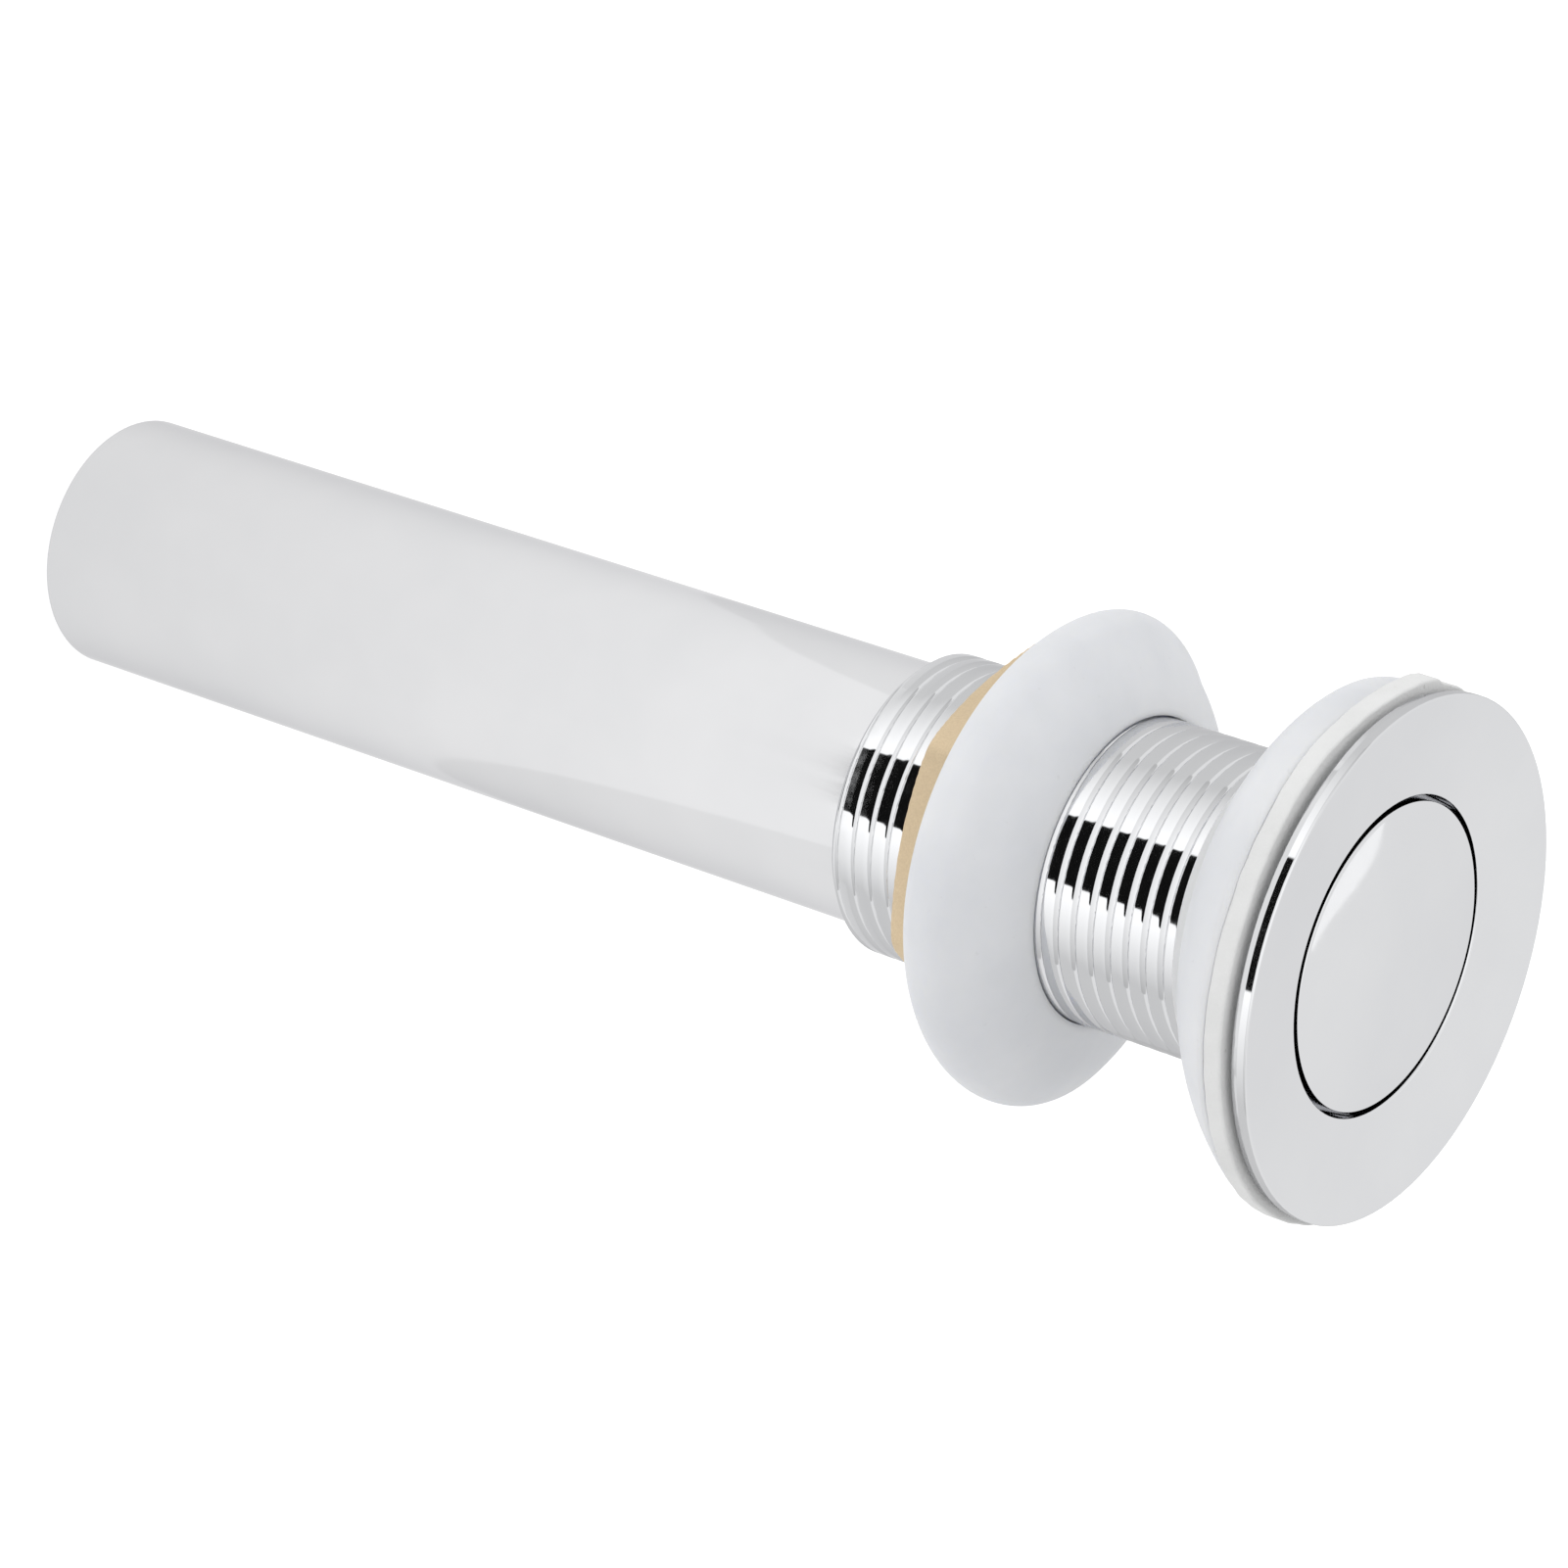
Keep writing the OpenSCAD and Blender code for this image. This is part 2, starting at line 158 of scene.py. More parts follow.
# Glow of the cards that only mirrors see, all painted reflections: the screen's leaves at the front and sides,
# then the painted highlights on the flange's edge and the plug's crown
LEAF_BRIGHT = 1.42
LEAF_SIDE = 0.79
EDGE_HIGHLIGHT_BRIGHT = 1.1
CRESCENT_HIGHLIGHT_BRIGHT = 1.25

# Height of the studio cards above the gasket seat, in millimetres
CARD_TOP = 330


def rounded(corners, radii, loop=True, steps=6):
    """Outline through corners, each replaced by an arc of its own radius that is tangent to both sides."""
    corners = np.asarray(corners, float)
    radii = np.broadcast_to(np.asarray(radii, float), len(corners))
    back = np.roll(corners, 1, axis=0) - corners
    ahead = np.roll(corners, -1, axis=0) - corners
    back /= np.linalg.norm(back, axis=1, keepdims=True)
    ahead /= np.linalg.norm(ahead, axis=1, keepdims=True)
    half = np.arccos(np.clip((back * ahead).sum(1), -1, 1)) / 2
    sweep = (np.pi - 2 * half)[:, None, None]
    middle = back + ahead
    middle /= np.linalg.norm(middle, axis=1, keepdims=True)
    centre = corners + middle * (radii / np.sin(half))[:, None]
    cut = (radii / np.tan(half))[:, None]
    first = (corners + back * cut - centre)[:, None]
    last = (corners + ahead * cut - centre)[:, None]
    t = np.linspace(0, 1, steps + 1)[None, :, None]
    arcs = centre[:, None] + (first * np.sin((1 - t) * sweep) + last * np.sin(t * sweep)) / np.sin(sweep)
    if loop:
        return arcs.reshape(-1, 2)
    return np.concatenate([corners[:1], arcs[1:-1].reshape(-1, 2), corners[-1:]])


def guarded(outline, loop=True, guard=0.12):
    """Outline with a point close to each end of its long sides, so that smooth shading stays flat on them."""
    start = outline if loop else outline[:-1]
    side = np.roll(outline, -1, axis=0)[:len(start)] - start
    length = np.linalg.norm(side, axis=1, keepdims=True)
    step = side * guard / np.maximum(length, 1e-9)
    rows = np.stack([start, start + step, start + side - step], axis=1)
    keep = np.stack([np.ones(len(start), bool), *[length[:, 0] > 4 * guard] * 2], axis=1)
    points = rows[keep]
    return points if loop else np.concatenate([points, outline[-1:]])


def skin(name, x, y, z, loop=True):
    """Mesh over a grid of points in millimetres; its columns close round the axis, a loop's rows too."""
    rows, columns = x.shape
    index = np.arange(rows * columns).reshape(rows, columns)
    ahead = np.roll(index, -1, axis=0)
    corners = [index, ahead, np.roll(ahead, -1, axis=1), np.roll(index, -1, axis=1)]
    faces = np.stack(corners, axis=-1)[:rows if loop else rows - 1].reshape(-1, 4)
    points = np.stack([x, y, z], axis=-1).reshape(-1, 3) * MM
    mesh = bpy.data.meshes.new(name)
    mesh.from_pydata(points.tolist(), [], faces.tolist())
    work = bmesh.new()
    work.from_mesh(mesh)
    bmesh.ops.remove_doubles(work, verts=work.verts, dist=1e-8)
    bmesh.ops.recalc_face_normals(work, faces=work.faces)
    work.to_mesh(mesh)
    work.free()
    mesh.shade_smooth()
    piece = bpy.data.objects.new(name, mesh)
    bpy.context.scene.collection.objects.link(piece)
    return piece


def angles(columns):
    """Angles of a grid's columns round the axis."""
    return np.arange(columns)[None, :] * TURN / columns


def turned(name, outline, loop=True, columns=192):
    """Surface of revolution: each outline point (radius, height) is carried round the axis."""
    radius, height = outline[:, :1], outline[:, 1:]
    a = angles(columns)
    return skin(name, radius * np.cos(a), radius * np.sin(a), height + 0 * a, loop)


def ease(x, start, end):
    """Smooth step from 0 at start to 1 at end."""
    t = np.clip((x - start) / (end - start), 0, 1)
    return t * t * (3 - 2 * t)


def facing(a, bearing, power):
    """1 at a bearing in degrees, falling to 0 opposite as a raised cosine, and faster for a higher power."""
    return ((1 + np.cos(a - np.radians(bearing))) / 2) ** power


def thread_cut(height, a):
    """Depth of a right-hand thread: a slant and a steep flank on each turn; the crest rounds off as a cubic."""
    up = (height - THREAD_START - a / TURN * PITCH) % PITCH
    left = np.maximum(THREAD_GROOVE - up, 0)
    bend = np.minimum(left, LOWER_ROUND)
    steep = STEEP_FLANK * (left - bend + bend ** 2 / (2 * LOWER_ROUND))
    slant = CREST_DROP + SLANT_FLANK * up
    crest = CREST_DROP * np.clip(1 - (PITCH - up) / CREST_ROUND, 0, 1) ** 3
    return np.maximum(np.minimum(slant, steep), crest)


def wander(a, seed, waves, fall=1.0):
    """Uneven line round the axis: a sum of cosines with fixed random phases, of about unit height."""
    rng = np.random.default_rng(seed)
    n = np.asarray(waves, float)[:, None]
    shift = rng.uniform(0, TURN, n.shape)
    weight = n ** -fall
    return (weight * np.cos(n * np.ravel(a)[None] + shift)).sum(0)[None] / np.sqrt((weight ** 2).sum() / 2)


def drain_body():
    """Flange, cup and shank: a turned outline whose threaded stretch has a helical groove cut into it."""
    rim_r, rim_z, end_z = reach("drain_body"), high("drain_body"), low("drain_body")
    throat_r, bore_r = reach("plug_seal") + SEAL_FIT, TUBE_R - TUBE_WALL
    socket_r, shoulder_z = reach("bridge") + FIXED_FIT, low("bridge") + BRIDGE_RING
    seat_r, rim_low, hole_r = rim_r - RIM_W, SEAT_STEP - RIM_SINK, HOLE_R + HOLE_TRIM
    chamfer, lead_in, throat_cone, rim_lean = 0.6, 0.3, 1.1, 0.2
    thread_rows, columns, shell = 840, 100, 1
    # Corners from the bore up to the flange's face and down again to the thread, each with its rounding
    corners = [
        ([bore_r, shoulder_z], 0.05), ([bore_r, THROAT_Z - throat_cone], 0.3), ([throat_r, THROAT_Z], 0.3),
        ([throat_r, CUP_Z - lead_in], 0.1), ([throat_r + lead_in, CUP_Z], 0.1), ([hole_r, CUP_Z], 0.3),
        ([hole_r, FACE_Z], 0.25), ([rim_r, rim_z], 0.2), ([rim_r, rim_low + RIM_BEVEL], 0.1),
        ([rim_r - rim_lean, rim_low], 0.15), ([seat_r, rim_low], 0.1), ([seat_r - SEAT_STEP / 2, 0], 0.1),
        ([NECK_R, 0], 0.3), ([NECK_R, NECK_Z], 0.5), ([THREAD_R, CONE_Z], 0.8), ([THREAD_R, THROAT_Z], 0.05)]
    points, roundings = zip(*corners)
    top = rounded(points, roundings, loop=False)
    foot = np.array([[THREAD_R - chamfer, end_z], [socket_r, end_z], [socket_r, shoulder_z]])
    thread = np.linspace(THROAT_Z, end_z, thread_rows)
    crest = np.minimum(THREAD_R, THREAD_R - chamfer + thread - end_z)
    outline = np.concatenate([
        guarded(top, loop=False)[:-1], np.stack([crest, thread], axis=1), guarded(foot, loop=False)[1:]])
    a = angles(columns)
    radius, height = outline[:, :1] + 0 * a, outline[:, 1:] + 0 * a
    cut = THREAD_R - thread_cut(height, a) * ease(-height, -THROAT_Z, -THROAT_Z + PITCH)
    on_thread = (height <= THROAT_Z) & (radius > THREAD_R - shell)
    radius = np.where(on_thread, np.minimum(radius, cut), radius)
    return skin("drain_body_turned", radius * np.cos(a), radius * np.sin(a), height)


def tailpiece():
    """Drawn tube with a spigot that is turned down to enter the shank, and softly broken edges."""
    end_z, step_z, top_z = low("tailpiece"), low("drain_body"), high("tailpiece")
    spigot_r, inner_r = reach("tailpiece_seal"), TUBE_R - TUBE_WALL
    outline = rounded(
        [[inner_r, end_z], [TUBE_R, end_z], [TUBE_R, step_z],
         [spigot_r, step_z], [spigot_r, top_z], [inner_r, top_z]],
        [0.25, 0.35, 0.1, 0.05, 0.2, 0.2])
    return turned("tailpiece_tube", guarded(outline))


def plug_cap():
    """Plug head with a shallow crown (a parabola) over a skirt with a seal groove, and a boss for the stem."""
    edge_z, crown_z, r = FACE_Z, high("plug_cap"), reach("plug_cap") - PLUG_TRIM
    skirt_z, seal_r = low("plug_cap"), reach("plug_seal")
    skirt_step, groove_depth, skirt_wall, boss_wall = 0.69, 2.63, 1.2, 2.57
    skirt_r, groove_r, stem_r = seal_r - skirt_step, seal_r - groove_depth, reach("plug_stem") + FIXED_FIT
    inside_r, boss_r = groove_r - skirt_wall, stem_r + boss_wall
    seal_z, seal_half = (low("plug_seal") + high("plug_seal")) / 2, 1.33
    plate_depth, boss_depth = 2.1, 5.9
    plate_z, boss_z, stem_z = edge_z - plate_depth, edge_z - boss_depth, high("plug_stem")
    under = rounded(
        [[0, stem_z], [stem_r, stem_z], [stem_r, boss_z], [boss_r, boss_z], [boss_r, plate_z],
         [inside_r, plate_z], [inside_r, skirt_z], [skirt_r, skirt_z], [skirt_r, seal_z - seal_half],
         [groove_r, seal_z - seal_half], [groove_r, seal_z + seal_half], [skirt_r, seal_z + seal_half],
         [skirt_r, edge_z - PLUG_EDGE], [r, edge_z - PLUG_EDGE], [r, edge_z], [0, edge_z]],
        [0, 0.1, 0.2, 0.3, 0.3, 0.3, 0.2, 0.2, 0.1, 0.1, 0.1, 0.1, 0.2, 0.3, 0.12, 0], loop=False)[:-1]
    edge_r = under[-1, 0]
    inwards = np.linspace(edge_r, 0, 40)[1:]
    crown = np.stack([inwards, edge_z + (crown_z - edge_z) * (1 - (inwards / edge_r) ** 2)], axis=1)
    outline = np.concatenate([guarded(under, loop=False), crown])
    return turned("plug_button", outline, loop=False)


def low_side(a):
    """1 on the side where the soft rings lie close to the flange, falling to 0 opposite."""
    return facing(a, -10, 2)


def foam_gasket():
    """Foam ring: a soft-edged section whose cut outer edge wanders, with a proud corner where it was cut short.

    Two wandering lines less what was cut off are added to the radius near the edge, which sags and hangs, and
    the underside is lifted on the low side.
    """
    outer, bottom, top = reach("foam_gasket"), low("foam_gasket") - FOAM_DROP, high("foam_gasket")
    inner, edge_width, proud_most = NECK_R + SOFT_GAP, 6, 0.6
    section = rounded([[inner, bottom], [outer, bottom], [outer, top], [inner, top]], [0.2, 0.2, 0.3, 0.2])
    outline = guarded(section)
    a = angles(360)
    cut_edge = ease(outline[:, :1], outer - edge_width, outer)
    # What is cut off, in millimetres by degrees past the corner: a dent before it, a short cut after it
    past = np.degrees((np.radians(-167) - a) % TURN)
    at_corner = ease(past, 344, 357)
    dent = 0.57 * ease(past, 310, 335) * (1 - at_corner) + 0.15 * at_corner
    short = 0.15 + 0.55 * ease(past, 0, 3) + 0.6 * ease(past, 3, 22)
    cut_off = short * (1 - ease(past, 60, 110)) + 0.25 * facing(a, 0, 1)
    coarse = 0.10 * wander(a, seed=3, waves=range(2, 9))
    fine = 0.035 * wander(a, seed=5, waves=range(14, 60, 3), fall=0.3)
    edge = coarse + fine - dent - cut_off
    upper = ease(outline[:, 1:], bottom, top)
    hang = 0.05 + 0.45 * facing(a, -120, 3)
    wavy = 0.06 * wander(a, seed=8, waves=range(2, 12))
    lifted = FOAM_DROP * low_side(a) * (1 - upper)
    sag = (wavy * (1 - upper) - hang * upper) * cut_edge + lifted
    radius = outline[:, :1] + cut_edge * np.minimum(edge, proud_most)
    return skin("foam_ring", radius * np.cos(a), radius * np.sin(a), outline[:, 1:] + sag)


def flange_gasket():
    """Tapered gasket: an arc bowed outwards from the broad top to a thin lip, off centre, bulged on one side.

    The bow and the bulge are parabolas along the side; the top edge is pinched in beside the bulge, and the
    far side is lifted more and more towards the lip.
    """
    top, bottom, outer = high("flange_gasket") - FOAM_DROP, low("flange_gasket"), reach("flange_gasket")
    neck, inner = NECK_R + SOFT_GAP, THREAD_R + SOFT_GAP
    top_edge, lip_wall, lip_length = 0.6, 0.5, 1.3
    bow, bulge_most, pinch_most, lift_most, aside_x, aside_y = 1.05, 1.85, 1.9, 1.2, 0.1, 0.5
    big, small = np.array([outer, top - top_edge]), np.array([inner + lip_wall, bottom])
    t = np.linspace(0, 1, 40)[:, None]
    along = small - big
    square = np.array([-along[1], along[0]]) / np.linalg.norm(along)
    side = big + along * t + square * bow * 4 * t * (1 - t)
    head = rounded([[neck, NECK_Z], [neck, top], [outer, top], big], [0, 0.2, 0.2, 0], loop=False)
    lip = bottom - lip_length
    foot = np.array([
        [inner + 0.42, bottom - 0.35], [inner + 0.3, lip + 0.12], [inner + 0.15, lip], [inner, lip + 0.15],
        [inner, CONE_Z]])
    outline = np.concatenate([guarded(head, loop=False)[:-1], side, foot])
    a = angles(240)
    soft = ease(outline[:, :1], inner, outer)
    slope = np.clip((top - outline[:, 1:]) / (top - bottom), 0, 1)
    off_thread = ease(outline[:, :1], inner + 0.3, inner + 4)
    bulge = bulge_most * 4 * slope * (1 - slope) * facing(a, -150, 3) * off_thread
    pinch = pinch_most * facing(a, -160, 12) * ease(outline[:, :1], outer - 3, outer)
    radius = outline[:, :1] + bulge - pinch + 0.05 * wander(a, seed=11, waves=range(2, 8)) * soft
    x, y = radius * np.cos(a) - aside_x * soft, radius * np.sin(a) - aside_y * soft
    lift = lift_most * facing(a, -20, 1.5) * slope + FOAM_DROP * low_side(a) * (1 - slope)
    return skin("taper_gasket", x, y, outline[:, 1:] + lift)


def backing_washer():
    """Domed washer: a round rim runs into a wide arc up to a thin lip; it leans and is bent to a saddle."""
    top, bottom, outer = high("backing_washer"), low("backing_washer"), reach("backing_washer")
    hole, rim_round, wide, lip_wall = THREAD_R + WASHER_FIT, 3.3, 42.0, 0.5
    lean_x, lean_y, saddle_rise, saddle_at = 0.026, 0.024, 0.81, np.radians(22.1)
    dimple, off_centre, nut_margin = 0.5, 0.66, 0.3
    rim = np.array([outer - rim_round, bottom + rim_round])
    lip = np.array([hole + lip_wall, top])
    chord = lip - rim
    span = np.linalg.norm(chord)
    along = chord / span
    ahead = (np.sum(chord ** 2) + rim_round ** 2 - 2 * wide * rim_round) / (2 * span)
    aside = np.sqrt((wide - rim_round) ** 2 - ahead ** 2)
    centre = rim + along * ahead + np.array([-along[1], along[0]]) * aside
    meet = np.arctan2(*(rim - centre)[::-1])
    arc = np.linspace(-np.pi / 2, meet, 28)[:, None]
    edge = rim + rim_round * np.concatenate([np.cos(arc), np.sin(arc)], axis=1)
    arc = np.linspace(meet, np.arctan2(*(lip - centre)[::-1]), 24)[1:, None]
    dome = centre + wide * np.concatenate([np.cos(arc), np.sin(arc)], axis=1)
    inside = np.array([
        [hole + 0.1, top - 0.02], [hole, top - 0.12], [hole, bottom + 0.4], [hole + 0.35, bottom]])
    outline = guarded(np.concatenate([edge, dome, inside]))
    a = angles(300)
    radius, height = outline[:, :1] + 0 * a, outline[:, 1:] + 0 * a
    slack = ease(radius, hole, outer - 2)
    radius = radius - dimple * slack * facing(a, 49, 20)
    x, y = radius * np.cos(a), radius * np.sin(a)
    saddle = saddle_rise * np.cos(2 * (a - saddle_at))
    bend = (lean_x * x - lean_y * y + saddle + 0.08 * wander(a, seed=21, waves=range(2, 7))) * slack
    clear_of_nut = ease(radius, NUT_CORNER_R + nut_margin, outer - 1)
    bend = np.where(bend < 0, bend * clear_of_nut, bend)
    return skin("washer_dome", x + off_centre * slack, y, height + bend)


def lock_nut():
    """Hexagon nut: flats with arcs at the corners, cut at both faces by a cone; its bore follows the thread."""
    top, bottom, flat_r = high("lock_nut"), low("lock_nut") - NUT_DROP, NUT_AF / 2
    tall, close_rows, face_inset = top - bottom, 2, 0.3
    corner_at, rake, corner_round = np.radians(14.2), np.tan(np.radians(21)), 4.1
    a = angles(360)
    off = (a - corner_at + np.pi / 6) % (TURN / 6) - np.pi / 6
    inset = (flat_r - corner_round) / np.cos(np.pi / 6)
    flat = flat_r / np.cos(np.pi / 6 - np.abs(off))
    corner = inset * np.cos(off) + np.sqrt(np.maximum(corner_round ** 2 - (inset * np.sin(off)) ** 2, 0))
    hexagon = np.where(inset * np.tan(np.abs(off)) < 0.5 * corner_round, np.minimum(corner, flat), flat)
    depth = np.concatenate([
        np.linspace(0, close_rows, 14), np.linspace(close_rows, tall - close_rows, 5)[1:-1],
        np.linspace(tall - close_rows, tall, 14)])
    from_face = np.minimum(depth, tall - depth)[:, None]
    wall = np.minimum(hexagon, flat_r - face_inset + from_face / rake)
    wall_z = bottom + depth[:, None] + 0 * a
    t = np.linspace(0, 1, 14)[1:-1, None]
    thread = np.linspace(top, bottom, 60)[:, None]
    lead = np.minimum(top - thread, thread - bottom)
    groove = 0.5 * thread_cut(thread, a) * ease(lead, 0.1, 0.8)
    flare = 0.4 * ease(0.5 - lead, 0, 0.5)
    bore = THREAD_R + NUT_FIT - groove + flare
    upper = wall[-1:] + (bore[:1] - wall[-1:]) * t
    lower = bore[-1:] + (wall[:1] - bore[-1:]) * t
    radius = np.concatenate([wall, upper, bore, lower])
    height = np.concatenate([wall_z, top + 0 * upper, thread + 0 * a, bottom + 0 * lower])
    return skin("hexagon_nut", radius * np.cos(a), radius * np.sin(a), height)


def return_spring():
    """Coil spring: a circle of wire carried along a helix whose end turns lie closed on the next ones."""
    bottom, top = low("return_spring"), high("return_spring")
    wire_r, turns, closed, steps = 0.4, 6, 0.75, 241
    coil_r, rise, end_rise = reach("return_spring") - wire_r, top - bottom - 2 * wire_r, 2 * wire_r * closed
    turn = np.pad(np.linspace(0, turns, steps), 1, mode="edge")[:, None]
    wire = np.pad(np.full((steps, 1), wire_r), ((1, 1), (0, 0)))
    climb = np.interp(turn, [0, closed, turns - closed, turns], [0, end_rise, rise - end_rise, rise])
    b = angles(12)
    radius, height = coil_r + wire * np.cos(b), bottom + wire_r + climb + wire * np.sin(b)
    return skin("coil_spring", radius * np.cos(TURN * turn), radius * np.sin(TURN * turn), height, loop=False)


class Wire:
    """A shader value that can be written into sums: each operator adds one Math node."""

    def __init__(self, finish, socket):
        self.finish = finish
        self.socket = socket

    def sum(self, operation, *values):
        """Value of a Math node."""
        return self.finish.node("Math", {"operation": operation}, dict(enumerate(values)))

    def __add__(self, other):
        return self.sum("ADD", self, other)

    def __sub__(self, other):
        return self.sum("SUBTRACT", self, other)

    def __rsub__(self, other):
        return self.sum("SUBTRACT", other, self)

    def __mul__(self, other):
        return self.sum("MULTIPLY", self, other)

    def __truediv__(self, other):
        return self.sum("DIVIDE", self, other)

    def __pow__(self, other):
        return self.sum("POWER", self, other)

    __radd__ = __add__
    __rmul__ = __mul__


class Finish:
    """A material under construction: a Principled shader, and nodes made from a type, settings and inputs."""

    def __init__(self, name, **constants):
        self.material = bpy.data.materials.new(name)
        self.material.use_nodes = True
        self.tree = self.material.node_tree
        self.shader = self.tree.nodes["Principled BSDF"]
        for socket, value in constants.items():
            self.feed(socket.replace("_", " "), value)
        self.place = self.node("TexCoord", out="Object")

    def node(self, kind, settings=None, inputs=None, out=0):
        """One output of a new node of any type, with its settings and the values or links of its sockets."""
        made = self.tree.nodes.new("ShaderNode" + kind)
        for key, value in (settings or {}).items():
            setattr(made, key, value)
        for key, value in (inputs or {}).items():
            self.plug(made.inputs[key], value)
        return Wire(self, made.outputs[out])

    def plug(self, socket, value):
        """Link a varying value to a socket, or set a plain one on it."""
        if isinstance(value, Wire):
            self.tree.links.new(value.socket, socket)
        else:
            socket.default_value = value

    def feed(self, socket, value):
        """Give the Principled shader's socket a value."""
        self.plug(self.shader.inputs[socket], value)

    def noise(self, per_mm, detail=3.0, rough=0.55, stretch=(1, 1, 1)):
        """Noise with the given number of features per millimetre, about 0.5 in the middle."""
        where = self.node("Mapping", {}, {"Vector": self.place, "Scale": [s / MM for s in stretch]})
        inputs = {"Vector": where, "Scale": per_mm, "Detail": detail, "Roughness": rough}
        return self.node("TexNoise", {}, inputs)

    def xyz(self):
        """Place in millimetres, as three values."""
        parts = self.node("SeparateXYZ", {}, {"Vector": self.place})
        return [Wire(self, socket) / MM for socket in parts.socket.node.outputs]

    def axis(self):
        """Distance from the axis and height, in millimetres."""
        x, y, z = self.xyz()
        return (x * x + y * y) ** 0.5, z

    def wave(self, value):
        """Sine of a value."""
        return self.node("Math", {"operation": "SINE"}, {0: value})

    def ray(self, kind):
        """1 for rays of the given kind, 0 for others."""
        return self.node("LightPath", out=f"Is {kind} Ray")

    def glow(self, level):
        """Light of the given level, plain or varying, where 1 is white."""
        colour = level
        if not isinstance(level, Wire):
            colour = (level, level, level, 1)
        return self.node("Emission", {}, {"Color": colour})

    def surface(self, shader):
        """Make a shader the material's surface."""
        self.tree.links.new(shader.socket, self.tree.nodes["Material Output"].inputs["Surface"])

    def blend(self, amount, first, second):
        """Colour between two colours, plain or varying, by an amount from 0 to 1."""
        first, second = [c if isinstance(c, Wire) else (*c, 1) for c in (first, second)]
        return self.node("Mix", {"data_type": "RGBA"}, {"Factor": amount, 6: first, 7: second}, out=2)

    def between(self, value, start, end, to_low=0.0, to_high=1.0):
        """Value carried from start and end to two other values, and held beyond them."""
        inputs = {0: value, 1: start, 2: end, 3: to_low, 4: to_high}
        return self.node("MapRange", {"clamp": True}, inputs)

    def bump(self, height, strength, depth_mm):
        """Tilt the surface by a varying height."""
        inputs = {"Strength": strength, "Distance": depth_mm * MM, "Height": height}
        self.feed("Normal", self.node("Bump", {}, inputs))


def chrome(name, bright, dull, rough, streaks):
    """Chrome plate: even tint that dips at a grazing view, and faint lines of wiping or drawing in the gloss."""
    f = Finish(name, Metallic=1.0, Specular_Tint=(0.8, 0.8, 0.81, 1))
    cloud = f.noise(0.05, 4)
    wipe = f.noise(0.5, 5, 0.6, streaks)
    f.feed("Base Color", f.blend(f.between(cloud, 0.3, 0.7), dull, bright))
    f.feed("Roughness", rough + 0.05 * f.between(wipe, 0.35, 0.75) + 0.03 * cloud)
    f.bump(wipe, 0.015, 0.05)
    return f.material


def brass():
    """Bare tumbled brass: matte and pale, with a fine grain, a warm tint that varies, and duller patches."""
    f = Finish("bare_brass", Metallic=0.6)
    radius, height = f.axis()
    patch = f.noise(0.18, 4)
    grain = f.noise(4.0, 4, 0.7)
    rings = f.wave((radius + height * 0.7 + 0.15 * f.noise(0.4)) * 26.0)
    tint = f.between(0.4 * patch + 0.6 * grain, 0.36, 0.64)
    f.feed("Base Color", f.blend(tint, (0.68, 0.54, 0.355), (0.79, 0.645, 0.445)))
    f.feed("Roughness", 0.52 + 0.1 * f.between(patch, 0.3, 0.7) + 0.02 * rings)
    f.bump(rings + 2.5 * grain, 0.12, 0.02)
    return f.material


def silicone():
    """Translucent white silicone: cool tint with cloudy depth, satin skin and fine moulding grain."""
    f = Finish("white_silicone", Subsurface_Weight=0.35, Subsurface_Radius=(0.004, 0.0042, 0.005),
               Subsurface_Scale=0.6, IOR=1.41)
    cloud = f.noise(0.08, 4)
    speck = f.between(f.noise(1.1, 2), 0.7, 0.78)
    tint = f.blend(f.between(cloud, 0.3, 0.7), (0.715, 0.728, 0.754), (0.78, 0.789, 0.808))
    f.feed("Base Color", f.blend(0.12 * speck, tint, (0.45, 0.44, 0.42)))
    f.feed("Roughness", 0.42 + 0.16 * cloud)
    f.bump(f.noise(2.5, 4) + 0.5 * f.noise(9.0), 0.10, 0.05)
    return f.material


def foam():
    """Closed-cell foam: matte white with open pores on its cut faces and a few grey specks."""
    f = Finish("white_foam", IOR=1.3)
    cells = f.node("TexVoronoi", {"feature": "F1"}, {"Vector": f.place, "Scale": 2.6 / MM})
    cloud = f.noise(0.15, 4)
    speck = f.between(f.noise(0.9, 2), 0.71, 0.76)
    tint = f.blend(f.between(cloud, 0.3, 0.7), (0.74, 0.743, 0.74), (0.805, 0.808, 0.805))
    f.feed("Base Color", f.blend(0.35 * speck, tint, (0.4, 0.39, 0.37)))
    f.feed("Roughness", 0.8 + 0.15 * cloud)
    f.bump(cells + 0.6 * f.noise(4.0), 0.35, 0.08)
    return f.material


def rubber():
    """Moulded black rubber: matte, with a greyer bloom in patches."""
    f = Finish("black_rubber", IOR=1.5)
    bloom = f.between(f.noise(0.3, 4), 0.35, 0.75)
    f.feed("Base Color", f.blend(bloom, (0.022, 0.022, 0.024), (0.05, 0.05, 0.052)))
    f.feed("Roughness", 0.5 + 0.2 * bloom)
    f.bump(f.noise(5.0, 4), 0.15, 0.03)
    return f.material


def acetal():
    """Moulded acetal: off-white satin plastic with faint flow marks."""
    f = Finish("white_plastic", IOR=1.48)
    flow = f.noise(0.4, 4, 0.5, (1, 1, 0.3))
    f.feed("Base Color", f.blend(f.between(flow, 0.3, 0.7), (0.80, 0.78, 0.72), (0.86, 0.85, 0.80)))
    f.feed("Roughness", 0.32 + 0.12 * flow)
    f.bump(f.noise(6.0), 0.06, 0.03)
    return f.material


